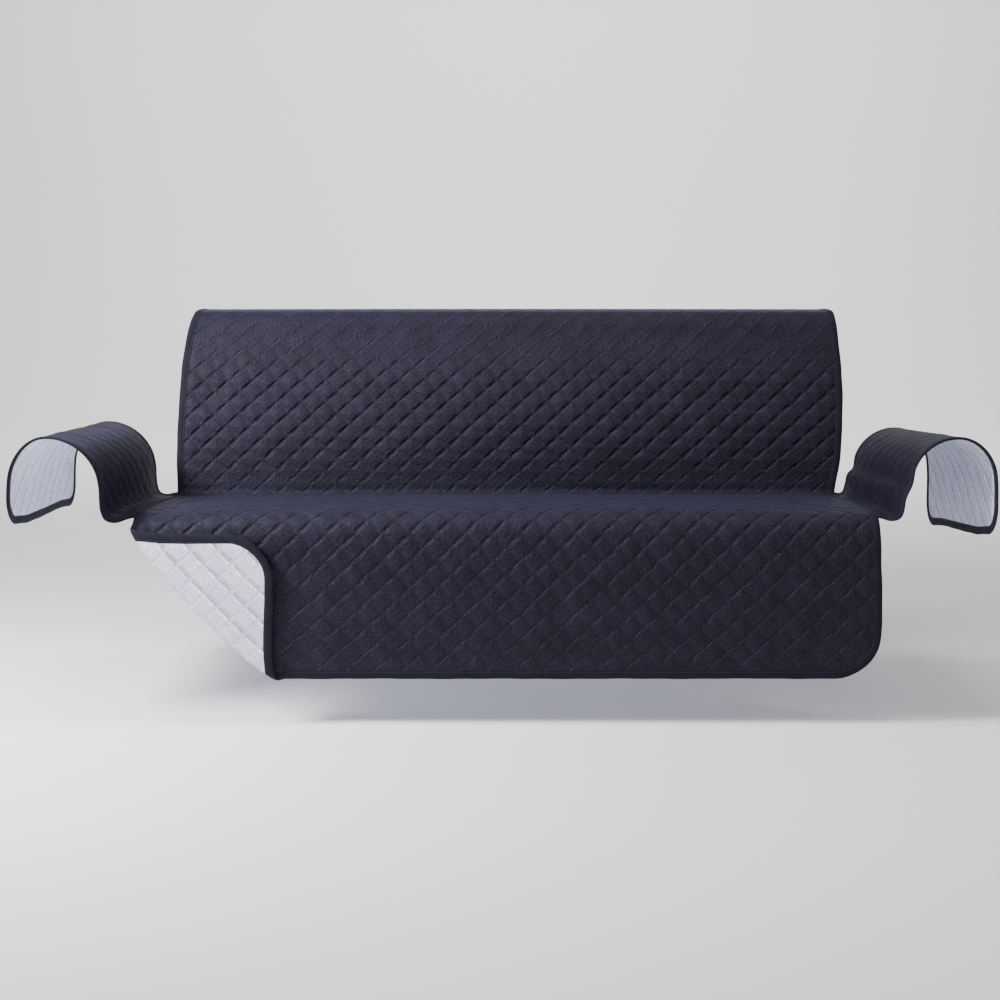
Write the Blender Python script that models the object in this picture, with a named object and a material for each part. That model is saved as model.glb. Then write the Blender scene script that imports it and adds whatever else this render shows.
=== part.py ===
# Quilted sofa cover, in the shape it takes on a three-seat sofa with round arms.
# Units are metres, Z is up and the front of the sofa faces -Y.
import math

import bmesh
import bpy
import numpy as np
from mathutils import Vector
from mathutils.geometry import delaunay_2d_cdt

# Quilting: seams cross in diamonds, and each diamond swells between its seams
diamond_width = 0.062
diamond_height = 0.060
puff_height = 0.0036

# Cloth layers, measured from the middle of the quilted face
main_width = 1.68
face_half = 0.0010
layer_gap = 0.0003
lining_thickness = 0.0012
binding_width = 0.018
binding_above = 0.0018
arm_above = 0.0012
arm_below = 0.0018
piece_gap = 0.0003
twisted_gap = 0.0018
corner_radius = 0.10
corner_steps = 8

# Sofa that the cover was shaped on, floor at z = 0; the origin is under the top of the back
origin = Vector((0.04, 0.835, 0.9185))

# The turned-up front corner: it folds along a seam, the fold bows outward and slides a
# little along the hem and up the side, and the turned part draws in towards the fold
fold_start_height = 0.345
fold_radius = 0.0065
fold_steps = 5
fold_bow = 0.025
fold_slide_hem = 0.0115
fold_slide_side = 0.012
fold_reach = 0.14
flap_lift = 0.008
flap_pull = 0.38

# Sections of the main panel from the front hem, over seat and back, to the rear hem:
# depth and height of the cloth, its left and right edges, how far the middle stands out
section_columns = ("y", "z", "left", "right", "crown")
sections = (
    (-0.004, 0.107, -0.838, 0.852, 0.002),
    (-0.007, 0.190, -0.836, 0.855, 0.003),
    (-0.008, 0.290, -0.833, 0.855, 0.003),
    (-0.006, 0.370, -0.832, 0.852, 0.003),
    (-0.003, 0.425, -0.831, 0.850, 0.003),
    (0.012, 0.459, -0.831, 0.849, 0.004),
    (0.045, 0.476, -0.831, 0.849, 0.006),
    (0.110, 0.479, -0.831, 0.849, 0.008),
    (0.210, 0.476, -0.831, 0.849, 0.010),
    (0.330, 0.469, -0.831, 0.849, 0.010),
    (0.450, 0.461, -0.831, 0.850, 0.007),
    (0.545, 0.454, -0.832, 0.851, 0.003),
    (0.572, 0.453, -0.832, 0.852, 0.001),
    (0.586, 0.460, -0.832, 0.853, 0.000),
    (0.592, 0.480, -0.833, 0.857, 0.002),
    (0.608, 0.550, -0.835, 0.871, 0.010),
    (0.630, 0.630, -0.835, 0.878, 0.015),
    (0.655, 0.700, -0.834, 0.882, 0.016),
    (0.684, 0.780, -0.830, 0.881, 0.013),
    (0.709, 0.850, -0.821, 0.877, 0.008),
    (0.724, 0.893, -0.812, 0.873, 0.004),
    (0.744, 0.912, -0.806, 0.871, 0.002),
    (0.775, 0.918, -0.805, 0.871, 0.001),
    (0.835, 0.920, -0.806, 0.872, 0.001),
    (0.890, 0.917, -0.808, 0.873, 0.001),
    (0.918, 0.906, -0.810, 0.875, 0.001),
    (0.929, 0.878, -0.811, 0.877, 0.001),
    (0.933, 0.820, -0.812, 0.878, 0.001),
    (0.936, 0.740, -0.812, 0.879, 0.001),
    (0.938, 0.655, -0.812, 0.880, 0.001),
)

# Arm flaps: which way each lies, where the inner face of the sofa's arm is at its front and
# rear, how far that face leans out below the scroll, and the scroll's top and radius
arm_columns = ("side", "face_front", "face_rear", "lean", "top_front", "top_rear", "radius")
arms = {
    "left": (-1, 0.892, 0.879, 0.000, 0.657, 0.643, 0.118),
    "right": (1, 0.893, 0.877, 0.0157, 0.656, 0.627, 0.102),
}
arm_flap_length = 0.545
arm_flap_depth = 0.560
arm_front = -0.032
arm_rear = 0.556
arm_stations = 4
scroll_outer = 0.088
scroll_step = 20
outer_drop = 0.16
outer_flare = 0.004
arm_corner_radius = 0.06
seam_start = 0.378
bridge_start = 0.004
bridge_length = 0.055
bridge_quarters = (1, 2, 3, 5, 6, 7)
# how the flap dips between the seat and the arm: share of that gap, rise as a share of it
dip_rows = ((0.25, -0.04), (0.55, -0.10), (0.82, 0.04))
# how it turns up the arm: distance from the arm's face, share of the lean, height over the seat
foot_rows = ((-0.002, 0.0, 0.022), (0.0, 0.15, 0.050))

# How finely the flat cloth is cut into triangles
reach = 0.03
pressed_width = 0.001
row_turn = math.radians(30)
flat_turn = math.radians(3)
sharp_turn = math.radians(40)
plain_column = 7
samples_per_span = 16
probe = 0.0006
fine_merge = 0.00001
coarse_merge = 0.0002
least_area = 1e-10
least_length = 1e-9

half_width = diamond_width / 2
half_height = diamond_height / 2
half_main = main_width / 2
seam_spacing = 1 / math.hypot(1 / diamond_width, 1 / diamond_height)


def smooth_rows(rows, samples):
    """Points along a smooth curve through every row of a table."""
    points = np.array(rows, dtype=float)
    padded = np.vstack([2 * points[0] - points[1], points, 2 * points[-1] - points[-2]])
    steps = np.linalg.norm(np.diff(padded[:, :2], axis=0), axis=1) ** 0.5
    result = []
    for index in range(1, len(padded) - 2):
        before, start, end, after = padded[index - 1:index + 3]
        first, middle, last = steps[index - 1:index + 2]
        tangent_start = (start - before) / first - (end - before) / (first + middle) + (end - start) / middle
        tangent_end = (end - start) / middle - (after - start) / (middle + last) + (after - end) / last
        tangent_start = tangent_start * middle
        tangent_end = tangent_end * middle
        for sample in range(samples):
            t = sample / samples
            result.append((2 * t**3 - 3 * t**2 + 1) * start + (t**3 - 2 * t**2 + t) * tangent_start
                          + (3 * t**2 - 2 * t**3) * end + (t**3 - t**2) * tangent_end)
    result.append(points[-1])
    return np.array(result)


def lengths_along(path):
    """Distance from the first point of a path to each of its points."""
    return np.concatenate([[0.0], np.cumsum(np.linalg.norm(np.diff(path[:, :2], axis=0), axis=1))])


main_path = smooth_rows(sections, samples_per_span)
main_along = lengths_along(main_path)
main_length = float(main_along[-1])
main_columns = dict(zip(section_columns, main_path.T))
path_turn = np.gradient(main_path[:, :2], main_along, axis=0)
path_turn = path_turn / np.linalg.norm(path_turn, axis=1)[:, None]
path_angle = np.unwrap(np.arctan2(path_turn[:, 1], path_turn[:, 0]))


def blend(low, high, t):
    """A value between low and high, eased at both ends."""
    t = min(max(t, 0.0), 1.0)
    t = t * t * (3 - 2 * t)
    return low + (high - low) * t


def main_point(u, v):
    """Where a point of the flat main panel lies, before its corner is turned up."""
    row = {name: np.interp(v, main_along, column) for name, column in main_columns.items()}
    turn_y = np.interp(v, main_along, path_turn[:, 0])
    turn_z = np.interp(v, main_along, path_turn[:, 1])
    over = min(v, 0.0) + max(v - main_length, 0.0)
    across = u / main_width + 0.5
    swell = row["crown"] * max(0.0, 4 * across * (1 - across))
    return Vector((row["left"] + (row["right"] - row["left"]) * across,
                   row["y"] + turn_y * over - turn_z * swell,
                   row["z"] + turn_z * over + turn_y * swell))


def normal_of(place, u, v):
    """Outward direction of a laid surface at one flat point."""
    along_u = place(u + probe, v) - place(u - probe, v)
    along_v = place(u, v + probe) - place(u, v - probe)
    return along_u.cross(along_v).normalized()


fold_value = -half_main / diamond_width + fold_start_height / diamond_height
fold_way = Vector((-1 / diamond_width, -1 / diamond_height)) * seam_spacing
fold_run = Vector((fold_start_height * diamond_width / diamond_height, -fold_start_height))
roll_length = math.pi * fold_radius


def past_fold(u, v):
    """Distance of a flat point beyond the fold line of the turned-up corner."""
    return (fold_value - u / diamond_width - v / diamond_height) * seam_spacing


def in_roll(u, v):
    """Whether a flat point lies where the cloth turns over at the corner."""
    return -piece_gap < past_fold(u, v) < roll_length + piece_gap


def drawn_point(u, v):
    """A point of the laid panel, shifted near the turned corner as the fold bows and slides."""
    near = math.exp(-(past_fold(u, v) / fold_reach) ** 2)
    to_hem = Vector((u + half_main, v - fold_start_height)).dot(fold_run) / fold_run.length_squared
    to_hem = min(max(to_hem, 0.0), 1.0)
    bow = fold_bow * (1 - (2 * to_hem - 1) ** 4)
    return main_point(u + (fold_way.x * bow - fold_slide_hem * to_hem) * near,
                      v + (fold_way.y * bow + fold_slide_side * (1 - to_hem)) * near)


def turned_point(u, v):
    """Where a point of the main panel lies, with its front left corner turned up."""
    distance = past_fold(u, v)
    if distance <= 0:
        return drawn_point(u, v)
    if distance < roll_length:
        turn = distance / fold_radius
        ahead = fold_radius * math.sin(turn)
        height = fold_radius * (1 - math.cos(turn))
    else:
        beyond = distance - roll_length
        ahead = flap_pull * beyond ** 2 - beyond
        height = 2 * fold_radius + flap_lift * (beyond / fold_start_height) ** 2
    base_u = u + fold_way.x * (ahead - distance)
    base_v = v + fold_way.y * (ahead - distance)
    return drawn_point(base_u, base_v) + normal_of(drawn_point, base_u, base_v) * height


def puff(u, v):
    """How far the quilting stands up at a flat point."""
    first = u / diamond_width + v / diamond_height
    second = u / diamond_width - v / diamond_height
    reach = max(abs(first - math.floor(first) - 0.5), abs(second - math.floor(second) - 0.5))
    return puff_height * (1 - 2 * reach)


def held_puff(u, v, low, high, radius):
    """Height of the quilting, pressed flat where the binding holds the edge of the cloth."""
    core = np.clip((u, v), low, high)
    from_edge = radius - float(np.linalg.norm(np.array((u, v)) - core))
    return puff(u, v) if from_edge > binding_width + pressed_width else 0.0


def arm_section(seam_x, seam_z, face, lean, top, radius):
    """Curve from the seat seam, over the arm's scroll and down its outer side."""
    centre_x = face + lean + radius
    centre_z = top - radius
    gap = face - seam_x
    rows = [(seam_x, seam_z)]
    rows += [(seam_x + share * gap, seam_z + rise * gap) for share, rise in dip_rows]
    rows += [(face + away + share * lean, seam_z + rise) for away, share, rise in foot_rows]
    for degrees in range(0, 181, scroll_step):
        turn = math.radians(degrees)
        reach_x = radius if degrees < 90 else scroll_outer
        rows.append((centre_x - reach_x * math.cos(turn), centre_z + radius * math.sin(turn)))
    rows += [(centre_x + scroll_outer + outer_flare * share, centre_z - outer_drop * share)
             for share in (0.5, 1.0)]
    path = smooth_rows(rows, samples_per_span)
    return path, lengths_along(path)


def arm_surface(side, face_front, face_rear, lean, top_front, top_rear, radius):
    """The laid surface of one arm flap, from its seam on the main panel to its outer hem."""
    sections_here = []
    for station in range(arm_stations + 1):
        share = station / arm_stations
        seam = main_point(side * half_main, seam_start + arm_flap_depth * share)
        path, along_path = arm_section(side * seam.x + piece_gap, seam.z,
                                       face_front + (face_rear - face_front) * share, lean,
                                       top_front + (top_rear - top_front) * share, radius)
        sections_here.append((seam.y, arm_front + (arm_rear - arm_front) * share, path, along_path))

    def section_point(station, across):
        seam_y, arm_y, path, along_path = sections_here[station]
        x, z = (np.interp(across, along_path, column) for column in path.T)
        return Vector((side * (x + min(across, 0.0)),
                       blend(seam_y, arm_y, (across - bridge_start) / bridge_length), z))

    def place(across, along):
        step = along / arm_flap_depth * arm_stations
        station = min(max(int(step), 0), arm_stations - 1)
        return section_point(station, across).lerp(section_point(station + 1, across), step - station)

    return place


def rounded_outline(low_u, high_u, low_v, high_v, radii):
    """Closed outline of a rectangle with its own radius at each corner, counter-clockwise."""
    corners = ((low_u, low_v, 1, 1), (high_u, low_v, -1, 1), (high_u, high_v, -1, -1), (low_u, high_v, 1, -1))
    points = []
    for index, (corner, radius) in enumerate(zip(corners, radii)):
        u, v, way_u, way_v = corner
        if radius <= 0:
            points.append((u, v))
            continue
        for step in range(corner_steps + 1):
            turn = math.radians(180 + 90 * index + 90 * step / corner_steps)
            points.append((u + way_u * radius + radius * math.cos(turn),
                           v + way_v * radius + radius * math.sin(turn)))
    return points


def inside(outline, u, v):
    """Whether a flat point lies within a closed outline."""
    hit = False
    for (u_one, v_one), (u_two, v_two) in zip(outline, outline[1:] + outline[:1]):
        if (v_one > v) != (v_two > v) and u < u_one + (v - v_one) * (u_two - u_one) / (v_two - v_one):
            hit = not hit
    return hit


def curve_rows(along, angles, length):
    """Places along the cloth where it bends enough to need a row of its own."""
    rows = []
    for step in range(int(length / half_height) + 1):
        low, high = step * half_height, min((step + 1) * half_height, length)
        turn = abs(np.interp(high, along, angles) - np.interp(low, along, angles))
        parts = max(1, math.ceil(turn / row_turn))
        rows += [low + (high - low) * part / parts for part in range(1, parts)]
    return rows


def lattice(outline):
    """Quilting points at every half diamond, with edges along rows, columns and the seams within."""
    low_u, low_v = np.min(outline, axis=0)
    high_u, high_v = np.max(outline, axis=0)
    columns = range(math.floor(low_u / half_width) - 1, math.ceil(high_u / half_width) + 2)
    rows = range(math.floor(low_v / half_height) - 1, math.ceil(high_v / half_height) + 2)
    points = []
    index_of = {}
    for row in rows:
        for column in columns:
            index_of[column, row] = len(points)
            points.append((column * half_width, row * half_height))
    within = [inside(outline, *point) for point in points]
    edges = []
    for (column, row), index in index_of.items():
        edges += [(index, index_of[place]) for place in ((column + 1, row), (column, row + 1))
                  if place in index_of]
        if (column + row) % 2:
            continue
        for place in ((column + 1, row + 1), (column + 1, row - 1)):
            if place in index_of and within[index] and within[index_of[place]]:
                edges.append((index, index_of[place]))
    return points, edges


def triangles_within(outline, points, edges, lines, skip=None, merge=coarse_merge):
    """Triangles of the flat cloth inside an outline, split along the given edges and lines."""
    points = list(points)
    edges = list(edges)
    for loop in [outline] + ([skip] if skip else []):
        start = len(points)
        points += loop
        edges += [(start + index, start + (index + 1) % len(loop)) for index in range(len(loop))]
    for line in lines:
        points += line
        edges.append((len(points) - 2, len(points) - 1))
    flat, _, faces, _, _, _ = delaunay_2d_cdt([Vector(point) for point in points], edges, [], 0, merge)
    kept = []
    for face in faces:
        centre = sum((flat[index] for index in face), Vector((0.0, 0.0))) / 3
        one, two, three = (flat[index] for index in face)
        area = (two - one).cross(three - one) / 2
        if abs(area) < least_area or not inside(outline, centre.x, centre.y):
            continue
        if skip and inside(skip, centre.x, centre.y):
            continue
        kept.append(tuple(face) if area > 0 else (face[0], face[2], face[1]))
    return [tuple(point) for point in flat], kept


def border_edges(faces):
    """Directed edges that belong to one triangle only."""
    directed = {(face[index], face[(index + 1) % 3]) for face in faces for index in range(3)}
    return [edge for edge in directed if (edge[1], edge[0]) not in directed]


def border_loop(flat, faces):
    """The outer border of a triangulation as one ordered list of flat points."""
    following = dict(border_edges(faces))
    start = next(iter(following))
    loop = [start]
    while following[loop[-1]] != start:
        loop.append(following[loop[-1]])
    return [flat[index] for index in loop]


def beside_border(border, low, high, gap_at, along_fold=False):
    """The border of a sheet moved outward by a gap, away from the box low to high."""
    loop = []
    for u, v in border:
        core = np.clip((u, v), low, high)
        away = np.array((u, v)) - core
        step_u, step_v = away / max(np.linalg.norm(away), least_length) * gap_at(u, v)
        if along_fold and in_roll(u, v):
            step_u = step_u if step_u else -step_v * diamond_width / diamond_height
            step_v = step_v if step_v else -step_u * diamond_height / diamond_width
        loop.append((u + float(step_u), v + float(step_v)))
    return loop


def follow_border(flat, faces, border):
    """The same triangulation with stray border points drawn onto the points of a given border."""
    wanted = np.array(border)
    matched = {}
    strays = []
    for index, _ in border_edges(faces):
        gaps = np.linalg.norm(wanted - np.array(flat[index]), axis=1)
        if gaps.min() < fine_merge:
            matched[index] = flat[index]
        else:
            strays.append(index)
    owners = list(matched)
    places = np.array([matched[index] for index in owners])
    moved = {index: owners[int(np.linalg.norm(places - np.array(flat[index]), axis=1).argmin())]
             for index in strays}
    joined = [tuple(moved.get(index, index) for index in face) for face in faces]
    return flat, [face for face in joined if len(set(face)) == 3]


def material(name, colour, roughness):
    """A plain fabric material in linear colour."""
    result = bpy.data.materials.new(name)
    result.use_nodes = True
    shader = result.node_tree.nodes["Principled BSDF"]
    shader.inputs["Base Color"].default_value = (*colour, 1.0)
    shader.inputs["Roughness"].default_value = roughness
    result.diffuse_color = (*colour, 1.0)
    return result


def sheet(name, place, upper, lower, height_above, height_below, fabric, mirrored):
    """One closed sheet of cloth between two triangulations that share their border."""
    mesh = bmesh.new()

    def laid(flat, faces, height):
        corners = {}
        for face in faces:
            for index in face:
                if index in corners:
                    continue
                u, v = flat[index]
                spot = place(u, v) + normal_of(place, u, v) * height(u, v) * (-1 if mirrored else 1)
                corners[index] = mesh.verts.new(spot - origin)
        return corners

    top = laid(*upper, height_above)
    bottom = laid(*lower, height_below)
    for face in upper[1]:
        mesh.faces.new([top[index] for index in face])
    for face in lower[1]:
        mesh.faces.new([bottom[index] for index in reversed(face)])
    lower_border = [one for one, _ in border_edges(lower[1])]
    lower_flat = np.array([lower[0][index] for index in lower_border])

    def under(index):
        distances = np.linalg.norm(lower_flat - np.array(upper[0][index]), axis=1)
        return bottom[lower_border[int(distances.argmin())]]

    for one, two in border_edges(upper[1]):
        mesh.faces.new((top[two], top[one], under(one)))
        mesh.faces.new((top[two], under(one), under(two)))
    bmesh.ops.recalc_face_normals(mesh, faces=mesh.faces)
    if mesh.calc_volume(signed=True) < 0:
        bmesh.ops.reverse_faces(mesh, faces=mesh.faces)
    for face in mesh.faces:
        face.smooth = True
    for edge in mesh.edges:
        edge.smooth = edge.calc_face_angle(0.0) < sharp_turn
    data = bpy.data.meshes.new(name)
    mesh.to_mesh(data)
    mesh.free()
    data.materials.append(fabric)
    piece = bpy.data.objects.new(name, data)
    bpy.context.scene.collection.objects.link(piece)
    return piece


for item in list(bpy.data.objects):
    bpy.data.objects.remove(item, do_unlink=True)

navy_face = material("navy_quilted_fabric", (0.040, 0.038, 0.062), 0.85)
pale_lining = material("pale_lining_fabric", (0.62, 0.63, 0.68), 0.90)
navy_binding = material("navy_binding_tape", (0.028, 0.027, 0.040), 0.80)

# Main panel, its lining and the binding around both
inset = binding_width + piece_gap
whole = rounded_outline(-half_main, half_main, 0, main_length, (corner_radius,) * 4)
panel_outline = rounded_outline(-half_main + inset, half_main - inset, inset, main_length - inset,
                                (corner_radius - inset,) * 4)
main_core = ((corner_radius - half_main, corner_radius),
             (half_main - corner_radius, main_length - corner_radius))

bend_lines = [((-half_main - reach, v), (half_main + reach, v))
              for v in curve_rows(main_along, path_angle, main_length)]
fold_lines = []
for step in range(fold_steps + 1):
    value = fold_value - roll_length * step / fold_steps / seam_spacing
    left_v = (value + (half_main + reach) / diamond_width) * diamond_height
    low_u = (value + reach / diamond_height) * diamond_width
    fold_lines.append(((-half_main - reach, left_v), (low_u, -reach)))

fine_points, fine_edges = lattice(panel_outline)
quilted = triangles_within(panel_outline, fine_points, fine_edges, bend_lines + fold_lines, None, fine_merge)
panel_border = border_loop(*quilted)

plain_lines = bend_lines + fold_lines
for row in range(int(main_length / half_height) + 1):
    v = row * half_height
    angle_here = np.interp(v, main_along, path_angle)
    nearby = [abs(np.interp(v + shift, main_along, path_angle) - angle_here)
              for shift in (-half_height, half_height)]
    if row % 2 == 0 or max(nearby) > flat_turn:
        plain_lines.append(((-half_main - reach, v), (half_main + reach, v)))
columns_each_side = int(half_main / (plain_column * half_width))
for column in range(-columns_each_side, columns_each_side + 1):
    u = column * plain_column * half_width
    plain_lines.append(((u, -reach), (u, main_length + reach)))
plain = triangles_within(panel_border, [], [], plain_lines, None, fine_merge)
plain = follow_border(*plain, panel_border)

sheet("main_panel", turned_point, quilted, plain,
      lambda u, v: face_half + held_puff(u, v, *main_core, corner_radius),
      lambda u, v: -face_half, navy_face, False)
lining_top = -face_half - layer_gap
lining_base = lining_top - lining_thickness
sheet("main_lining", turned_point, plain, plain,
      lambda u, v: lining_top, lambda u, v: lining_base, pale_lining, False)

ring_inner = beside_border(panel_border, *main_core,
                           lambda u, v: twisted_gap if in_roll(u, v) else piece_gap, True)
ring = triangles_within(whole, [], [], plain_lines, ring_inner, fine_merge)
sheet("main_binding", turned_point, ring, ring,
      lambda u, v: binding_above, lambda u, v: lining_base - binding_above + face_half,
      navy_binding, False)

# One quilted flap over each arm, bound on its three free edges
arm_inner_radius = arm_corner_radius - inset
arm_outline = rounded_outline(piece_gap, arm_flap_length - inset, inset, arm_flap_depth - inset,
                              (0, arm_inner_radius, arm_inner_radius, 0))
arm_whole = rounded_outline(piece_gap, arm_flap_length, 0, arm_flap_depth,
                            (0, arm_corner_radius, arm_corner_radius, 0))
arm_core = ((-reach, arm_corner_radius),
            (arm_flap_length - arm_corner_radius, arm_flap_depth - arm_corner_radius))

bridge_lines = [((quarter * half_width / 4, -reach), (quarter * half_width / 4, arm_flap_depth + reach))
                for quarter in bridge_quarters]
arm_quilted = triangles_within(arm_outline, *lattice(arm_outline), bridge_lines)
arm_border = border_loop(*arm_quilted)
arm_lines = bridge_lines + [((column * half_width, -reach), (column * half_width, arm_flap_depth + reach))
                            for column in range(int(arm_flap_length / half_width) + 1)]
arm_lines += [((-reach, arm_flap_depth * row / arm_stations),
               (arm_flap_length + reach, arm_flap_depth * row / arm_stations))
              for row in range(1, arm_stations)]
arm_plain = triangles_within(arm_border, [], [], arm_lines, None, fine_merge)
arm_plain = follow_border(*arm_plain, arm_border)
arm_inner = [(-reach if u < 2 * piece_gap else u, v) for u, v in
             beside_border(arm_border, *arm_core,
                           lambda u, v: twisted_gap if u < diamond_width else piece_gap)]
arm_ring = triangles_within(arm_whole, [], [], arm_lines, arm_inner, fine_merge)

for name, row in arms.items():
    arm = dict(zip(arm_columns, row))
    surface = arm_surface(**arm)
    turned_over = arm["side"] < 0
    sheet(name + "_arm_flap", surface, arm_quilted, arm_plain,
          lambda u, v: arm_above + held_puff(u, v, *arm_core, arm_corner_radius),
          lambda u, v: -arm_below, navy_face, turned_over)
    sheet(name + "_arm_binding", surface, arm_ring, arm_ring,
          lambda u, v: binding_above, lambda u, v: -arm_below - binding_above + face_half,
          navy_binding, turned_over)
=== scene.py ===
import math

import bpy
import numpy as np
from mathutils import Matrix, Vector


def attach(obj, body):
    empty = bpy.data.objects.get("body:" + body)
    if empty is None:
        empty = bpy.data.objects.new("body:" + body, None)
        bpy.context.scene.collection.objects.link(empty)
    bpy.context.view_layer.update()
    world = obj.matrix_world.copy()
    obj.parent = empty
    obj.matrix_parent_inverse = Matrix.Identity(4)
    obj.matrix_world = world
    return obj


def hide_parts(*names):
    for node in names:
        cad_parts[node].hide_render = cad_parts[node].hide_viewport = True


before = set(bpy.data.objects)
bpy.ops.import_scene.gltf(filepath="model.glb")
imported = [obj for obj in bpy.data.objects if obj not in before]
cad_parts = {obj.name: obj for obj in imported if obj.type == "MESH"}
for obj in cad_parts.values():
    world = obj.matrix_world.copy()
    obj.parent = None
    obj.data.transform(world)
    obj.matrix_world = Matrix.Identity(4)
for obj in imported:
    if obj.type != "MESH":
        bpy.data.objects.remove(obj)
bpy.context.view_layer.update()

# sizes shared by every piece of the cover, in metres
cover = {
    "origin": (0.04, 0.835, 0.9185),  # under the highest part of the cloth, floor at z = 0
    "diamond": (0.062, 0.060),  # one quilting diamond, across and along
    "mainWidth": 1.68,
    "cornerRadius": 0.10,
    "bindingWidth": 0.018,
    "subdivisions": 5,  # mesh cells in half a diamond
}
coverOrigin = np.array(cover["origin"])
diamondU, diamondV = cover["diamond"]
seamSpacing = 1 / math.hypot(1 / diamondU, 1 / diamondV)
halfWidth = cover["mainWidth"] / 2

# depth, height, left edge, right edge, how far the middle stands out
mainSections = np.array([
    (-0.004, 0.107, -0.838, 0.852, 0.002),
    (-0.007, 0.190, -0.836, 0.855, 0.003),
    (-0.008, 0.290, -0.833, 0.855, 0.003),
    (-0.006, 0.370, -0.832, 0.852, 0.003),
    (-0.003, 0.425, -0.831, 0.850, 0.003),
    (0.012, 0.459, -0.831, 0.849, 0.004),
    (0.045, 0.476, -0.831, 0.849, 0.006),
    (0.110, 0.479, -0.831, 0.849, 0.008),
    (0.210, 0.476, -0.831, 0.849, 0.010),
    (0.330, 0.469, -0.831, 0.849, 0.010),
    (0.450, 0.461, -0.831, 0.850, 0.007),
    (0.545, 0.454, -0.832, 0.851, 0.003),
    (0.572, 0.453, -0.832, 0.852, 0.001),
    (0.586, 0.460, -0.832, 0.853, 0.000),
    (0.592, 0.480, -0.833, 0.857, 0.002),
    (0.608, 0.550, -0.835, 0.871, 0.010),
    (0.630, 0.630, -0.835, 0.878, 0.015),
    (0.655, 0.700, -0.834, 0.882, 0.016),
    (0.684, 0.780, -0.830, 0.881, 0.013),
    (0.709, 0.850, -0.821, 0.877, 0.008),
    (0.724, 0.893, -0.812, 0.873, 0.004),
    (0.744, 0.912, -0.806, 0.871, 0.002),
    (0.775, 0.918, -0.805, 0.871, 0.001),
    (0.835, 0.920, -0.806, 0.872, 0.001),
    (0.890, 0.917, -0.808, 0.873, 0.001),
    (0.918, 0.906, -0.810, 0.875, 0.001),
    (0.929, 0.878, -0.811, 0.877, 0.001),
    (0.933, 0.820, -0.812, 0.878, 0.001),
    (0.936, 0.740, -0.812, 0.879, 0.001),
    (0.938, 0.655, -0.812, 0.880, 0.001),
])


# a smooth curve through rows of numbers, as points on it, and the length along it to each
def smoothRows(rows, samples=16):
    padded = np.vstack([2 * rows[0] - rows[1], rows, 2 * rows[-1] - rows[-2]])
    steps = np.linalg.norm(np.diff(padded[:, :2], axis=0), axis=1) ** 0.5
    path = []
    for index in range(1, len(padded) - 2):
        before, start, end, after = padded[index - 1:index + 3]
        first, middle, last = steps[index - 1:index + 2]
        slope = (end - start) / middle
        leave = ((start - before) / first - (end - before) / (first + middle) + slope) * middle
        arrive = (slope - (after - start) / (middle + last) + (after - end) / last) * middle
        for t in np.arange(samples) / samples:
            path.append((2 * t**3 - 3 * t**2 + 1) * start + (t**3 - 2 * t**2 + t) * leave
                        + (3 * t**2 - 2 * t**3) * end + (t**3 - t**2) * arrive)
    path.append(rows[-1])
    path = np.array(path)
    along = np.concatenate([[0.0], np.cumsum(np.linalg.norm(np.diff(path[:, :2], axis=0), axis=1))])
    return path, along


mainPath, mainAlong = smoothRows(mainSections)
mainLength = float(mainAlong[-1])
mainTurn = np.gradient(mainPath[:, :2], mainAlong, axis=0)
mainTurn = mainTurn / np.linalg.norm(mainTurn, axis=1)[:, None]


def ease(t):
    t = np.clip(t, 0.0, 1.0)
    return t * t * (3 - 2 * t)


# where a flat position on the main panel, across and up from its front hem, lies on the cover
def mainPoint(u, v):
    y, z, left, right, crown = (np.interp(v, mainAlong, column) for column in mainPath.T)
    turnY = np.interp(v, mainAlong, mainTurn[:, 0])
    turnZ = np.interp(v, mainAlong, mainTurn[:, 1])
    over = np.minimum(v, 0.0) + np.maximum(v - mainLength, 0.0)
    across = u / cover["mainWidth"] + 0.5
    swell = crown * np.maximum(0.0, 4 * across * (1 - across))
    return np.stack([left + (right - left) * across, y + turnY * over - turnZ * swell,
                     z + turnZ * over + turnY * swell], axis=-1)


def normalOf(place, u, v, probe=0.0008):
    alongU = place(u + probe, v) - place(u - probe, v)
    alongV = place(u, v + probe) - place(u, v - probe)
    normal = np.cross(alongU, alongV)
    return normal / np.linalg.norm(normal, axis=-1)[..., None]


# the front corner that is turned up along a seam: its fold bows outward and slides a little
# along the hem and up the side, and the turned part draws in towards the fold
turnedCorner = {
    "startHeight": 0.345,  # where the fold meets the side edge
    "radius": 0.0065,
    "bow": 0.025,
    "slideHem": 0.0115,
    "slideSide": 0.012,
    "reach": 0.14,
    "lift": 0.008,
    "pull": 0.38,
}
startHeight = turnedCorner["startHeight"]
foldValue = -halfWidth / diamondU + startHeight / diamondV
foldWay = np.array([-1 / diamondU, -1 / diamondV]) * seamSpacing
foldRun = np.array([startHeight * diamondU / diamondV, -startHeight])
rollLength = math.pi * turnedCorner["radius"]


# how far a flat position lies past the line along which the corner is turned up
def pastFold(u, v):
    return (foldValue - u / diamondU - v / diamondV) * seamSpacing


# the cloth near that line is drawn aside, so the fold bows
def drawnPoint(u, v):
    near = np.exp(-(pastFold(u, v) / turnedCorner["reach"]) ** 2)
    toHem = ((u + halfWidth) * foldRun[0] + (v - startHeight) * foldRun[1]) / (foldRun @ foldRun)
    toHem = np.clip(toHem, 0.0, 1.0)
    bow = turnedCorner["bow"] * (1 - (2 * toHem - 1) ** 4)
    return mainPoint(u + (foldWay[0] * bow - turnedCorner["slideHem"] * toHem) * near,
                     v + (foldWay[1] * bow + turnedCorner["slideSide"] * (1 - toHem)) * near)


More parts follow.
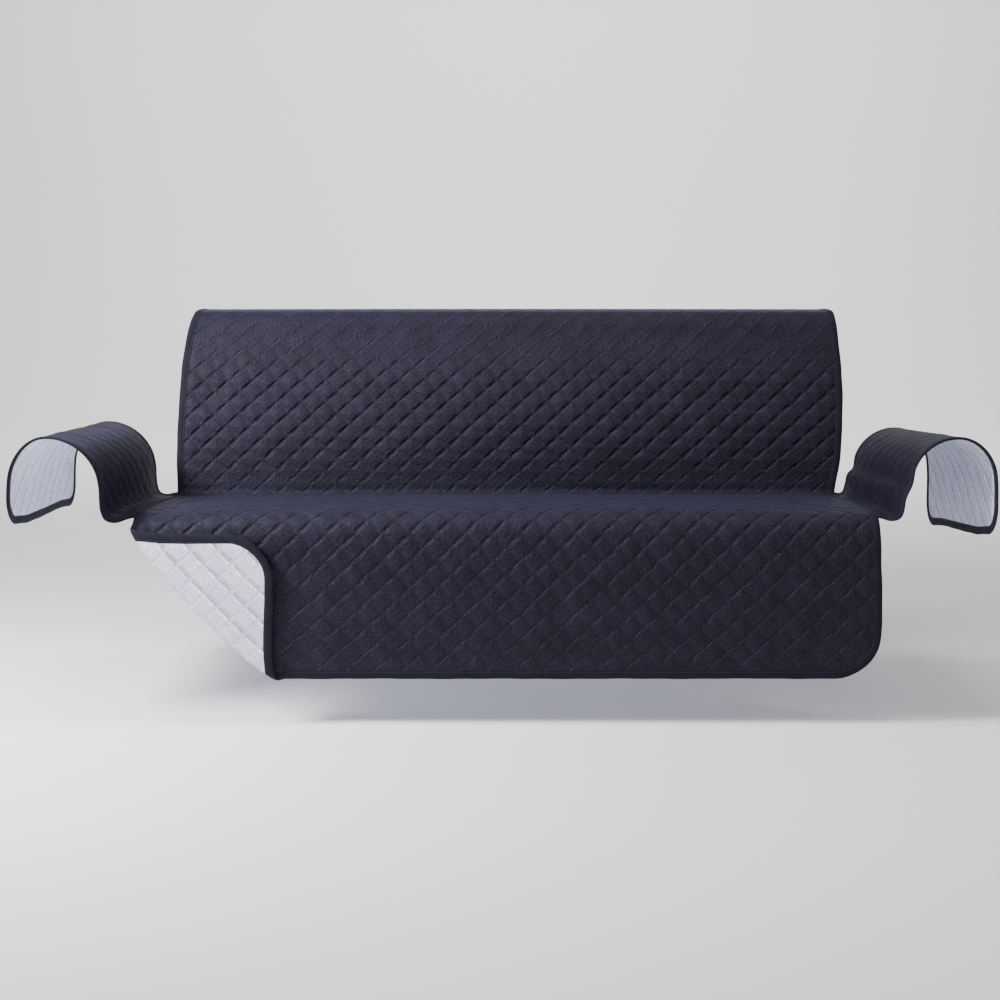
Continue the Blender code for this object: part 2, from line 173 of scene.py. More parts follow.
# the same with the corner rolled over its fold and laid back on the panel
def turnedPoint(u, v):
    distance = pastFold(u, v)
    turn = np.clip(distance / turnedCorner["radius"], 0, math.pi)
    beyond = np.maximum(distance - rollLength, 0.0)
    ahead = turnedCorner["radius"] * np.sin(turn) - beyond + turnedCorner["pull"] * beyond ** 2
    height = turnedCorner["radius"] * (1 - np.cos(turn))
    height = height + turnedCorner["lift"] * (beyond / startHeight) ** 2
    shift = np.where(distance > 0, ahead - distance, 0.0)
    baseU = u + foldWay[0] * shift
    baseV = v + foldWay[1] * shift
    return drawnPoint(baseU, baseV) + normalOf(drawnPoint, baseU, baseV) * height[..., None]


# arm flaps: side, where the flap stands up front and rear, how far it leans out below its roll,
# the roll's top front and rear, and its radius
armFlap = {
    "left": (-1, 0.892, 0.879, 0.000, 0.657, 0.643, 0.118),
    "right": (1, 0.893, 0.877, 0.0157, 0.656, 0.627, 0.102),
    "rollOuter": 0.088,  # half width of the roll's outer half
    "rollTurn": 20,  # degrees from point to point round the roll
    "length": 0.545,
    "depth": 0.560,
    "frontY": -0.032,
    "rearY": 0.556,
    "stations": 4,  # stretches from the front section to the rear one
    "samples": 420,  # points across a section
    "overhang": 0.03,  # how far a section runs on past the flap's edges
    "runOn": 0.1,  # and the flap past its front and rear sections, in its depths
    "bridge": 0.055,  # from the seam, the flap spreads to its own depth over this
    "bridgeStart": 0.004,
    "outerDrop": 0.16,
    "outerFlare": 0.004,
    "cornerRadius": 0.06,
    "seamStart": 0.378,
    "gap": 0.0003,
    "sewnIn": 0.0022,  # how far the inner edge is tucked in at the main panel's edge
    "sewnFade": 0.04,
    "tapeLift": 0.0003,
}
# the dip beside the seam: share of its width, and its rise by that width; above it, the foot of
# the upright part: how far away, share of the lean, height
dipRows = ((0.25, -0.04), (0.55, -0.10), (0.82, 0.04))
footRows = ((-0.002, 0.0, 0.022), (0.0, 0.15, 0.050))


def armSection(seamX, seamZ, face, lean, top, radius):
    centreX, centreZ, width = face + lean + radius, top - radius, face - seamX
    outer, drop, flare = armFlap["rollOuter"], armFlap["outerDrop"], armFlap["outerFlare"]
    rows = [(seamX, seamZ)] + [(seamX + share * width, seamZ + rise * width) for share, rise in dipRows]
    rows += [(face + away + share * lean, seamZ + rise) for away, share, rise in footRows]
    for degrees in range(0, 181, armFlap["rollTurn"]):
        turn = math.radians(degrees)
        reachX = radius if degrees < 90 else outer
        rows.append((centreX - reachX * math.cos(turn), centreZ + radius * math.sin(turn)))
    rows += [(centreX + outer + flare * share, centreZ - drop * share) for share in (0.5, 1.0)]
    return smoothRows(np.array(rows))


def armSurface(side, faceFront, faceRear, lean, topFront, topRear, radius):
    stations, overhang = armFlap["stations"], armFlap["overhang"]
    grid = np.linspace(-overhang, armFlap["length"] + overhang, armFlap["samples"])
    table = []
    for station in range(stations + 1):
        share = station / stations
        seamV = armFlap["seamStart"] + armFlap["depth"] * share
        seam = mainPoint(np.array(side * halfWidth), np.array(seamV))
        face = faceFront + (faceRear - faceFront) * share
        top = topFront + (topRear - topFront) * share
        path, along = armSection(side * seam[0] + armFlap["gap"], seam[2], face, lean, top, radius)
        x = np.interp(grid, along, path[:, 0]) + np.minimum(grid, 0.0)
        z = np.interp(grid, along, path[:, 1])
        armY = armFlap["frontY"] + (armFlap["rearY"] - armFlap["frontY"]) * share
        y = seam[1] + (armY - seam[1]) * ease((grid - armFlap["bridgeStart"]) / armFlap["bridge"])
        table.append(np.stack([side * x, y, z], axis=-1))
    table = np.array(table)

    def laid(across, along):
        step = np.clip(along / armFlap["depth"], -armFlap["runOn"], 1 + armFlap["runOn"]) * stations
        station = np.clip(np.floor(step).astype(int), 0, stations - 1)
        column = np.clip((across - grid[0]) / (grid[1] - grid[0]), 0, len(grid) - 1.001)
        low = np.floor(column).astype(int)
        share = (column - low)[..., None]
        near = table[station, low] * (1 - share) + table[station, low + 1] * share
        far = table[station + 1, low] * (1 - share) + table[station + 1, low + 1] * share
        part = (step - station)[..., None]
        return near * (1 - part) + far * part

    def place(across, along):
        # the inner edge is sewn in along the main panel's edge, whose curve runs on between the stations
        across, along = np.broadcast_arrays(np.asarray(across, dtype=float), np.asarray(along, dtype=float))
        start = np.full(across.shape, armFlap["gap"])
        edge = mainPoint(np.full(across.shape, side * halfWidth), armFlap["seamStart"] + along)
        reach = edge - np.array((side * armFlap["sewnIn"], 0.0, 0.0)) - laid(start, along)
        near = 1 - ease((across - armFlap["gap"]) / armFlap["sewnFade"])
        return laid(across, along) + reach * near[..., None]

    return place


# quilting: how far the cloth swells between its seams, uneven from diamond to diamond; the
# seams that run along the turned corner's fold draw the face in less than those that cross it,
# and on the reverse it is the other way round
quilting = {
    "puff": 0.0046,
    "reversePuff": 0.0020,
    "uneven": 0.22,
    "lean": 0.35,  # how far a puff's highest point moves off its middle
    "swellUnder": 0.001,  # the swell starts this far under the tape
    "swellFade": 0.010,
    "faceSeams": (0.85, 1.0),  # along the fold, across it
    "reverseSeams": (1.0, 0.05),
    "fullness": (  # up the cloth from the hem, and how full the puffs stand there
        (0.00, 0.34), (0.20, 0.44), (0.34, 0.62), (0.42, 0.50), (0.86, 0.36), (0.98, 0.40), (1.07, 0.84),
        (1.22, 0.90), (1.30, 0.28), (1.36, 0.08), (1.57, 0.10), (1.66, 0.60), (1.85, 0.70)),
    "armFullness": 0.20,
}


# an uneven number from 0 to 1, always the same for the same diamond
def scatter(first, second, seed):
    value = np.sin(first * 127.1 + second * 311.7 + seed * 74.7) * 43758.5453
    return value - np.floor(value)


def puffOf(u, v, height, seams):
    first = u / diamondU + v / diamondV
    second = u / diamondU - v / diamondV
    cellOne, cellTwo = np.floor(first + 1e-7), np.floor(second + 1e-7)
    a = np.clip(first - cellOne, 0, 1) - 0.5
    b = np.clip(second - cellTwo, 0, 1) - 0.5
    peak = height * (1 + quilting["uneven"] * (scatter(cellOne, cellTwo, 1.0) - 0.5) * 2)
    leanOne = quilting["lean"] * (scatter(cellOne, cellTwo, 2.0) - 0.5)
    leanTwo = quilting["lean"] * (scatter(cellOne, cellTwo, 3.0) - 0.5)
    drawn = (1 - seams[0] * (2 * a) ** 2) * (1 - seams[1] * (2 * b) ** 2)
    lean = leanOne * 2 * a * (1 - (2 * a) ** 2) + leanTwo * 2 * b * (1 - (2 * b) ** 2)
    return peak * drawn * (1 + lean)


# how far inside the cloth's rounded outline a flat position lies
def edgeDistance(u, v, low, high, radius):
    away = np.hypot(u - np.clip(u, low[0], high[0]), v - np.clip(v, low[1], high[1]))
    return radius - away


def addToScene(name, data):
    added = bpy.data.objects.new(name, data)
    bpy.context.scene.collection.objects.link(added)
    return added


def makeMesh(name, points, faces, material, flat):
    mesh = bpy.data.meshes.new(name)
    mesh.from_pydata((points - coverOrigin).tolist(), [], faces)
    mesh.validate()
    mesh.materials.append(material)
    layer = mesh.uv_layers.new(name="flatCloth")
    loops = np.empty(len(mesh.loops), dtype=int)
    mesh.loops.foreach_get("vertex_index", loops)
    layer.data.foreach_set("uv", np.asarray(flat, dtype=float)[loops].ravel())
    mesh.polygons.foreach_set("use_smooth", [True] * len(mesh.polygons))
    return addToScene(name, mesh)


# layers of the quilted cloth: its showing side and its hidden side, above the cloth's middle
layers = {
    "face": (0.0010, -0.0010),
    "reverse": (-0.0025, -0.0013),
    "armFace": (0.0012, -0.0003),
    "armReverse": (-0.0018, -0.0006),
    "keepFrom": 0.008,  # they end this far inside the tape's outer edge
    "rollMargin": 0.008,  # no shared faces this near to the turned corner's roll
    "blockSag": 0.0075,  # a block of hidden cells shares one face if it sags less,
    "blockTurn": 0.97,  # and if the cosine of its turn is more than this
    "stripTurn": 0.995,  # the same for a strip of cells
}


# a sheet of quilted cloth: the showing side is fine, the hidden side is coarse, closed at its rim;
# openU is where an arm flap starts at its seam, and the main panel has none
def quiltedSheet(name, place, core, radius, openU, offsets, puff, creases, mirrored, material):
    sub = cover["subdivisions"]
    stepU, stepV = diamondU / 2 / sub, diamondV / 2 / sub
    onMain = openU is None
    firstColumn = math.ceil((core[0][0] - radius) / stepU) if onMain else 0
    firstRow = math.ceil((core[0][1] - radius) / stepV)
    iRange = np.arange(firstColumn, math.floor((core[1][0] + radius) / stepU) + 1)
    jRange = np.arange(firstRow, math.floor((core[1][1] + radius) / stepV) + 1)
    iGrid, jGrid = np.meshgrid(iRange, jRange, indexing="ij")
    u, v = iGrid * stepU, jGrid * stepV
    if onMain:
        full = np.interp(v, *np.array(quilting["fullness"]).T)
    else:
        u = np.where(iGrid == 0, openU, u)
        full = np.full(u.shape, quilting["armFullness"])
    fromTape = edgeDistance(u, v, core[0], core[1], radius) - cover["bindingWidth"] + quilting["swellUnder"]
    swell = puffOf(u, v, *puff) * ease(fromTape / quilting["swellFade"]) * full
    base = place(u, v)
    normal = normalOf(place, u, v) * (-1 if mirrored else 1)
    front, back = offsets
    rise = creases(u, v)
    sign = 1.0 if front > back else -1.0
    showing = base + normal * (front + rise + sign * swell)[..., None]
    hidden = base + normal * (back + rise)[..., None]
    centreU, centreV = (u[:-1, :-1] + u[1:, 1:]) / 2, (v[:-1, :-1] + v[1:, 1:]) / 2
    kept = edgeDistance(centreU, centreV, core[0], core[1], radius) > layers["keepFrom"]
    fromRoll = np.abs(pastFold(centreU, centreV) - rollLength / 2)
    inRoll = (fromRoll < rollLength / 2 + layers["rollMargin"]) & onMain
    index = np.arange(u.size).reshape(u.shape)
    flip = (sign < 0) != mirrored
    faces = []

    def addFace(loop):
        faces.append(tuple(reversed(loop)) if flip else tuple(loop))

    for i, j in zip(*np.nonzero(kept)):
        low, right, far, up = index[i, j], index[i + 1, j], index[i + 1, j + 1], index[i, j + 1]
        # cells on a seam that runs along the fold, or in its roll, are cut that way, the rest across
        falling = (iRange[i] + 1 + jRange[j]) % (2 * sub) == 0 or inRoll[i, j]
        for face in ((low, right, up), (right, far, up)) if falling else ((low, right, far), (low, far, up)):
            addFace(face)
    blocks = set()  # flat stretches of the hidden side need one face a block
    for i in range(0, kept.shape[0] - sub + 1, sub):
        for j in range(0, kept.shape[1] - sub + 1, sub):
            if not kept[i:i + sub, j:j + sub].all() or inRoll[i:i + sub, j:j + sub].any():
                continue
            middle = (hidden[i, j] + hidden[i + sub, j] + hidden[i, j + sub] + hidden[i + sub, j + sub]) / 4
            sag = np.linalg.norm(hidden[i + sub // 2, j + sub // 2] - middle)
            turn = min(normal[i, j] @ normal[i, j + sub], normal[i, j] @ normal[i + sub, j])
            if sag < layers["blockSag"] and turn >= layers["blockTurn"]:
                blocks.add((i, j))
    covered = np.zeros_like(kept)
    for i, j in blocks:
        covered[i:i + sub, j:j + sub] = True
        corners = ((i, j), (i + sub, j), (i + sub, j + sub), (i, j + sub))
        ways = ((1, 0), (0, 1), (-1, 0), (0, -1))
        beside = ((i, j - sub), (i + sub, j), (i, j + sub), (i - sub, j))
        loop = []
        for corner, way, neighbour in zip(corners, ways, beside):
            steps = 1 if neighbour in blocks else sub
            loop += [index[corner[0] + way[0] * step, corner[1] + way[1] * step] for step in range(steps)]
        addFace([corner + u.size for corner in reversed(loop)])
    freeCells = kept & ~covered & ~inRoll  # where it bends one way only, a strip of cells shares one face
    strips = {(i, j) for i in range(0, kept.shape[0] - sub + 1, sub) for j in range(kept.shape[1])
              if freeCells[i:i + sub, j].all() and normal[i, j] @ normal[i + sub, j] > layers["stripTurn"]}
    for i, j in strips:
        covered[i:i + sub, j] = True
        below, above = (1 if (i, j + way) in strips else sub for way in (-1, 1))
        loop = [index[i + step, j] for step in range(below)] + [index[i + sub, j]]
        loop += [index[i + sub - step, j + 1] for step in range(above)] + [index[i, j + 1]]
        addFace([corner + u.size for corner in reversed(loop)])
    for i, j in zip(*np.nonzero(kept & ~covered)):
        addFace([index[i, j + 1] + u.size, index[i + 1, j + 1] + u.size, index[i + 1, j] + u.size,
                 index[i, j] + u.size])
    padded = np.pad(kept, 1)
    for i, j in zip(*np.nonzero(kept)):
        corners = (index[i, j], index[i + 1, j], index[i + 1, j + 1], index[i, j + 1])
        beside = (padded[i + 1, j], padded[i + 2, j + 1], padded[i + 1, j + 2], padded[i, j + 1])
        for side in range(4):
            if not beside[side]:
                one, two = corners[side], corners[(side + 1) % 4]
                addFace((two, one, one + u.size, two + u.size))
    points = np.concatenate([showing.reshape(-1, 3), hidden.reshape(-1, 3)])
    flat = np.concatenate([np.stack([u.ravel(), v.ravel()], axis=-1)] * 2)
    used = np.unique(np.concatenate([np.array(face) for face in faces]))
    renumber = np.full(len(points), -1)
    renumber[used] = np.arange(len(used))
    faces = [tuple(int(renumber[corner]) for corner in face) for face in faces]
    piece = makeMesh(name, points[used], faces, material, flat[used])
    fullness = piece.data.attributes.new("fullness", "FLOAT", "POINT")
    fullness.data.foreach_set("value", np.concatenate([full.ravel()] * 2)[used])
    return piece


# binding: a folded tape round the edge, with its line of stitches near the inner side
binding = {
    "profile": (  # in from the outer edge, above the cloth's middle
        (0.0190, 0.0008), (0.0182, 0.0019), (0.0170, 0.0020), (0.0158, 0.0014), (0.0146, 0.0021),
        (0.0110, 0.0025), (0.0060, 0.0024), (0.0022, 0.0016), (0.0003, 0.0002), (0.0000, -0.0010),
        (0.0005, -0.0024), (0.0026, -0.0034), (0.0065, -0.0038), (0.0110, -0.0038), (0.0146, -0.0034),
        (0.0158, -0.0028), (0.0170, -0.0034), (0.0182, -0.0033), (0.0190, -0.0022)),
    "cornerSteps": 32,
    "step": 0.005,
    "foldStep": 0.0025,  # finer near the turned corner's roll
    "foldReach": 0.03,
    "probe": 0.002,
    "ripple": 0.00035,
    "rippleWaves": (610, 37),  # radians a metre: the ripples, and how their spacing varies
    "rippleAt": 0.012,  # in from the outer edge
    "rippleReach": 0.008,
    "wavers": ((23, 0, 0.0004), (71, 1, 0.0003)),  # radians a metre, start, how far in and out
    "stitchIn": 0.0158,
    "stitchAbove": 0.0018,
    "stitchBelow": -0.0032,
    "stitchPitch": 0.0045,
    "stitchMargin": 0.004,
    "stitchProbe": 0.0015,
}


def roundedPath(low, high, radius, openSide):
    points, cornerSteps = [], binding["cornerSteps"]
    corners = ((low[0], low[1], 180), (high[0], low[1], 270), (high[0], high[1], 0), (low[0], high[1], 90))
    for number, (u, v, start) in enumerate(corners):
        if openSide and number in (0, 3):
            points.append((u, v))
            continue
        centreU = u + (radius if number in (0, 3) else -radius)
        centreV = v + (radius if number in (0, 1) else -radius)
        for step in range(cornerSteps + 1):
            turn = math.radians(start + 90 * step / cornerSteps)
            points.append((centreU + radius * math.cos(turn), centreV + radius * math.sin(turn)))
    if not openSide:
        points.append(points[0])
    path = np.array(points)
    return path, np.concatenate([[0.0], np.cumsum(np.linalg.norm(np.diff(path, axis=0), axis=1))])


def stationsAlong(path, along, foldAware):
    places = [0.0]
    spacing, margin = binding["step"], binding["foldReach"]
    while places[-1] < along[-1]:
        u, v = (np.interp(places[-1], along, path[:, axis]) for axis in (0, 1))
        near = foldAware and -margin < pastFold(u, v) < rollLength + margin
        places.append(places[-1] + (binding["foldStep"] if near else spacing))
    places = np.array(places[:-1])
    return places * (along[-1] / (places[-1] + spacing)) if foldAware else np.append(places, along[-1])


def edgeFrames(path, along, places):
    u, v = (np.interp(places, along, path[:, axis]) for axis in (0, 1))
    behind, ahead = (np.stack([np.interp(places + probe, along, path[:, axis]) for axis in (0, 1)], axis=-1)
                     for probe in (-binding["probe"], binding["probe"]))
    tangent = ahead - behind
    tangent = tangent / np.linalg.norm(tangent, axis=-1)[:, None]
    return u, v, -tangent[:, 1], tangent[:, 0], tangent


def bindingTape(name, place, low, high, radius, openSide, lift, creases, mirrored, material):
    path, along = roundedPath(low, high, radius, openSide)
    places = stationsAlong(path, along, not openSide)
    u, v, inU, inV, _ = edgeFrames(path, along, places)
    rows, flat = [], []
    ripples, spacing = binding["rippleWaves"]
    wave = np.sin(places * ripples + 2 * np.sin(places * spacing)) * binding["ripple"]
    waver = sum(np.sin(places * turns + start) * size for turns, start, size in binding["wavers"])
    for inward, above in binding["profile"]:
        outer = 1 - inward / cover["bindingWidth"]
        pointU = u + inU * (inward + waver * outer)
        pointV = v + inV * (inward + waver * outer)
        normal = normalOf(place, pointU, pointV) * (-1 if mirrored else 1)
        rippling = max(0.0, 1 - abs(inward - binding["rippleAt"]) / binding["rippleReach"])
        height = above + lift + creases(pointU, pointV) + wave * rippling
        rows.append(place(pointU, pointV) + normal * height[:, None])
        flat.append(np.stack([places, np.full_like(places, inward)], axis=-1))
    rows, flat = np.array(rows), np.array(flat)
    profiles, stations = rows.shape[:2]
    faces = []
    last = stations - 1 if openSide else stations
    for row in range(profiles):
        other = (row + 1) % profiles
        for station in range(last):
            after = (station + 1) % stations
            loop = (row * stations + station, row * stations + after, other * stations + after,
                    other * stations + station)
            faces.append(loop if mirrored else tuple(reversed(loop)))
    if openSide:
        start = [row * stations for row in range(profiles)]
        end = [row * stations + stations - 1 for row in range(profiles)]
        faces.append(tuple(start) if mirrored else tuple(reversed(start)))
        faces.append(tuple(reversed(end)) if mirrored else tuple(end))
    return makeMesh(name, rows.reshape(-1, 3), faces, material, flat.reshape(-1, 2))


def stitchRow(place, low, high, radius, openSide, lift, creases, mirrored):
    path, along = roundedPath(low, high, radius, openSide)
    margin = binding["stitchMargin"]
    places = np.arange(margin, along[-1] - margin, binding["stitchPitch"])
    u, v, inU, inV, tangent = edgeFrames(path, along, places)
    u, v = u + inU * binding["stitchIn"], v + inV * binding["stitchIn"]
    step = binding["stitchProbe"]
    forward = place(u + tangent[:, 0] * step, v + tangent[:, 1] * step)
    forward = forward - place(u - tangent[:, 0] * step, v - tangent[:, 1] * step)
    normal = normalOf(place, u, v) * (-1 if mirrored else 1)
    spots = []
    for height in (binding["stitchAbove"], binding["stitchBelow"]):
        spots.append(place(u, v) + normal * (height + lift + creases(u, v))[:, None])
    return np.concatenate(spots), np.concatenate([forward, forward]), np.concatenate([normal, normal])


# materials
def toLinear(hexColour):
    channels = [int(hexColour[k:k + 2], 16) / 255 for k in (1, 3, 5)]
    return tuple(c / 12.92 if c <= 0.04045 else ((c + 0.055) / 1.055) ** 2.4 for c in channels) + (1.0,)


def addNode(tree, kind, settings=None, links=None):
    node = tree.nodes.new(kind)
    for key, value in (settings or {}).items():
        if isinstance(key, str) and hasattr(node, key):
            setattr(node, key, value)
        else:
            node.inputs[key].default_value = value
    for key, source in (links or {}).items():
        tree.links.new(source, node.inputs[key])
    return node


def newMaterial(name, finish):
    material = bpy.data.materials.new(name)
    material.use_nodes = True
    tree = material.node_tree
    shader = tree.nodes["Principled BSDF"]
    for socket, value in finish.items():
        shader.inputs[socket].default_value = value
    return material, tree, shader


# each value is a number with a point in it, or another node's output
def combine(tree, operation, *values):
    node = addNode(tree, "ShaderNodeMath", {"operation": operation})
    for place, value in enumerate(values):
        if isinstance(value, float):
            node.inputs[place].default_value = value
        else:
            tree.links.new(value, node.inputs[place])
    return node.outputs[0]


def multiply(tree, first, *others):
    for other in others:
        first = combine(tree, "MULTIPLY", first, other)
    return first


def shapedRange(tree, source, low, high, start, end, shape="SMOOTHSTEP"):
    return addNode(tree, "ShaderNodeMapRange", {
        "interpolation_type": shape, "From Min": low, "From Max": high, "To Min": start, "To Max": end},
        {0: source}).outputs[0]


def noiseOf(tree, place, size, detail, roughness=0.6):
    return addNode(tree, "ShaderNodeTexNoise", {"Scale": 1 / size, "Detail": detail, "Roughness": roughness},
                   {"Vector": place}).outputs[0]


def rampOf(tree, source, low, high, dark, light):
    ramp = addNode(tree, "ShaderNodeValToRGB", links={0: source})
    for element, position, colour in zip(ramp.color_ramp.elements, (low, high), (dark, light)):
        element.position = position
        element.color = toLinear(colour)
    return ramp.outputs[0]


def scaleColour(tree, colour, level):
    return addNode(tree, "ShaderNodeVectorMath", {"operation": "SCALE"},
                   {0: colour, "Scale": level}).outputs[0]


# each bump: its height, depth in metres, strength
def addRelief(tree, shader, bumps):
    below = {}
    for height, depth, strength in bumps:
        bump = addNode(tree, "ShaderNodeBump", {"Strength": strength, "Distance": depth},
                       {"Height": height, **below})
        below = {"Normal": bump.outputs[0]}
    tree.links.new(below["Normal"], shader.inputs["Normal"])


# where each effect fades in the quilted cloths: metres from a seam or from a crossing of seams,
# or the part of a noise that counts
bands = {
    "patch": (0.32, 0.68),
    "fleck": (0.30, 0.70),
    "gather": (0.40, 0.62),
    "dash": (0.08, 0.20),
    "softened": (0.0, 0.55),  # by how full the puffs stand
    "between": (0.0, 0.018),  # metres from a crossing
    # where the painted highlight and shade at a seam fade out towards a crossing
    "paintedLapFade": (0.001, 0.007),
    "crimp": (0.001, 0.016),  # metres from a seam
    "sewn": (0.0005, 0.0011),
    # where the painted shade beside a seam starts, in metres
    "grooveShadeFrom": 0.0002,
}


# for the seams that run along the turned corner's fold, and then for those that cross it: distance
# in metres to the nearest, dashes along it, and how far past it, all from the flat cloth's own map
def seamFamilies(tree, stitchLength):
    flat = addNode(tree, "ShaderNodeUVMap", {"uv_map": "flatCloth"}).outputs[0]
    parts = addNode(tree, "ShaderNodeSeparateXYZ", links={0: flat})
    across = multiply(tree, parts.outputs["X"], 1 / diamondU)
    along = multiply(tree, parts.outputs["Y"], 1 / diamondV)
    foldwise = combine(tree, "ADD", across, along)
    crosswise = combine(tree, "SUBTRACT", across, along)
    families = []
    for line, other in ((foldwise, crosswise), (crosswise, foldwise)):
        distance = multiply(tree, combine(tree, "PINGPONG", line, 0.5), seamSpacing)
        wave = combine(tree, "PINGPONG", multiply(tree, other, seamSpacing / stitchLength), 0.5)
        dash = shapedRange(tree, wave, *bands["dash"], 0.0, 1.0)
        families.append((distance, dash, combine(tree, "FRACT", line)))
    return flat, families


def quiltedCloth(name, settings):
    material, tree, shader = newMaterial(name, {
        "Roughness": settings["roughness"], "IOR": settings["ior"],
        "Specular IOR Level": settings["specular"], "Sheen Weight": settings["sheen"],
        "Sheen Roughness": settings["sheenRoughness"], "Sheen Tint": toLinear(settings["sheenTint"]),
    })
    flat, families = seamFamilies(tree, settings["stitch"])
    full = addNode(tree, "ShaderNodeAttribute", {"attribute_name": "fullness"}).outputs["Fac"]
    place = addNode(tree, "ShaderNodeTexCoord").outputs["Object"]
    fibres = noiseOf(tree, place, settings["fibre"], 2.0)
    crimps = noiseOf(tree, flat, settings["pucker"], 2.0)
    naps = noiseOf(tree, flat, settings["nap"], 3.0)
    patches = noiseOf(tree, place, settings["patch"], 4.0)
    shade = rampOf(tree, patches, *bands["patch"], settings["dark"], settings["light"])
    flecked, napped = (shapedRange(tree, source, *bands["fleck"], 1 - spread, 1 + spread, "LINEAR")
                       for source, spread in ((fibres, settings["fleck"]), (naps, settings["napShade"])))
    level = multiply(tree, flecked, napped)
    gathers = noiseOf(tree, flat, settings["gather"], 2.0)
    gathered = shapedRange(tree, gathers, *bands["gather"], settings["leastGather"], 1.0)
    softened = shapedRange(tree, full, *bands["softened"], settings["flatSeam"], 1.0)
    highlightWidth, shadeWidth = settings["highlightWidth"] / seamSpacing, settings["shadeWidth"] / seamSpacing
    grooves, besides, threads = [], [], []
    for (distance, dash, past), (crossing, _, _), weight, highlightGain, shadeLoss in zip(
            families, reversed(families), settings["seamWeights"], settings["highlightGains"], settings["shadeLosses"]):
        # painted shade: darker right beside a seam, where its groove lies, less where the puffs are flat
        deepest = (1 - settings["seamShade"]) * weight
        grooveShade = shapedRange(tree, distance, bands["grooveShadeFrom"], settings["seamWidth"], deepest, 0.0)
        level = multiply(tree, level, combine(tree, "SUBTRACT", 1.0, multiply(tree, softened, grooveShade)))
        # a groove is shallower towards a crossing on the face, and even on the reverse
        between = shapedRange(tree, crossing, *bands["between"], settings["crossing"], 1.0)
        groove = shapedRange(tree, distance, 0.0, settings["grooveWidth"], 0.0, 1.0)
        grooves.append(multiply(tree, groove, between, weight))
        # painted highlight and painted shade where the cloth laps over at a seam: lighter in front of it,
        # darker behind
        if highlightGain > 0:
            paintedLapFade = shapedRange(tree, crossing, *bands["paintedLapFade"], settings["atCrossing"], 1.0)
            paintedLapFade = multiply(tree, softened, paintedLapFade)
            highlighted = shapedRange(tree, past, 0.3 * highlightWidth, highlightWidth, highlightGain, 0.0)
            highlighted = combine(tree, "ADD", 1.0, multiply(tree, highlighted, gathered, paintedLapFade))
            shadowed = shapedRange(tree, past, 1 - shadeWidth, 1 - 0.2 * shadeWidth, 0.0, shadeLoss)
            shadowed = combine(tree, "SUBTRACT", 1.0, multiply(tree, shadowed, paintedLapFade))
            level = multiply(tree, level, highlighted, shadowed)
        besides.append(shapedRange(tree, distance, *bands["crimp"], weight, settings["crimpAway"]))
        # the stitches come and go along a seam as the cloth is gathered
        sewn = shapedRange(tree, distance, *bands["sewn"], 1.0, 0.0)
        threads.append(multiply(tree, sewn, dash, weight, gathered))
    valley = combine(tree, "ADD", *grooves)
    crimped = combine(tree, "MAXIMUM", *besides)
    thread = combine(tree, "MAXIMUM", *threads)
    stitched = addNode(tree, "ShaderNodeMix", {"data_type": "RGBA", 7: toLinear(settings["thread"])},
                       {0: thread, 6: scaleColour(tree, shade, level)})
    tree.links.new(stitched.outputs[2], shader.inputs["Base Color"])
    addRelief(tree, shader, (
        (multiply(tree, crimps, crimped), settings["puckerDepth"], 1.0),
        (multiply(tree, valley, full), settings["grooveDepth"], 1.0),
        (thread, settings["threadDepth"], 1.0),
        (fibres, settings["fibreDepth"], 0.6),
    ))
    return material


# brushed polyester microfibre: matt, with a soft bluish bloom where the nap turns from the eye
faceCloth = {
    # the thread is lighter than the face: partly its own colour, partly painted highlight for the glint of
    # the stitches
    "dark": "#1b1925", "light": "#22202e", "thread": "#3d3b54", "threadDepth": 0.0005,
    "patch": 0.07, "fibre": 0.0021, "fibreDepth": 0.00063, "fleck": 0.42, "nap": 0.0048, "napShade": 0.50,
    # seamShade and seamWidth: the painted shade beside each seam, how deep and how wide
    "seamWeights": (0.28, 1.0), "seamShade": 0.38, "seamWidth": 0.0040, "stitch": 0.0080,
    # painted highlight in front of the seams that cross the fold, painted shade behind them, and how wide
    # each is
    "highlightGains": (0.0, 1.7), "shadeLosses": (0.0, 0.10), "highlightWidth": 0.0038, "shadeWidth": 0.012,
    "flatSeam": 0.25, "crossing": 0.3, "atCrossing": 0.6, "gather": 0.045, "leastGather": 0.25,
    "grooveWidth": 0.0090, "grooveDepth": 0.0034,
    "pucker": 0.0080, "puckerDepth": 0.0042, "crimpAway": 0.35,
    "roughness": 0.60, "ior": 1.45, "specular": 0.12,
    "sheen": 0.11, "sheenRoughness": 0.45, "sheenTint": "#807ab6",
}
navyMicrofibre = quiltedCloth("brushedNavyMicrofibre", faceCloth)
# the same cloth on the arm flaps, as a darker copy with less sheen: painted shade
shadedArmMicrofibre = quiltedCloth("paintedShadeNavyMicrofibre", {
    **faceCloth, "dark": "#131119", "light": "#181621", "thread": "#2b2940",
    "sheen": 0.075, "sheenTint": "#6f68b4",
})
# brushed polyester: pale, duller and flatter than the face; the seams along the fold show most
paleReverse = quiltedCloth("paleBrushedPolyester", {
    **faceCloth, "dark": "#c9cce2", "light": "#dddff0", "thread": "#a3a2b4",
    "patch": 0.05, "nap": 0.0050, "napShade": 0.20,
    # seamShade and seamWidth: the painted shade beside each seam, how deep and how wide
    "seamWeights": (0.45, 0.36), "seamShade": 0.70, "seamWidth": 0.0030,
    # painted highlight in front of the seams along the fold, painted shade behind them, and how wide each is
    "highlightGains": (0.90, 0.0), "shadeLosses": (0.42, 0.0), "highlightWidth": 0.0060, "shadeWidth": 0.016,
    "flatSeam": 0.7, "crossing": 1.0, "atCrossing": 0.15,
    "grooveWidth": 0.0060, "puckerDepth": 0.0022, "crimpAway": 0.25,
    "roughness": 0.85, "specular": 0.3, "sheen": 0.05, "sheenTint": "#e6e8f4",
})


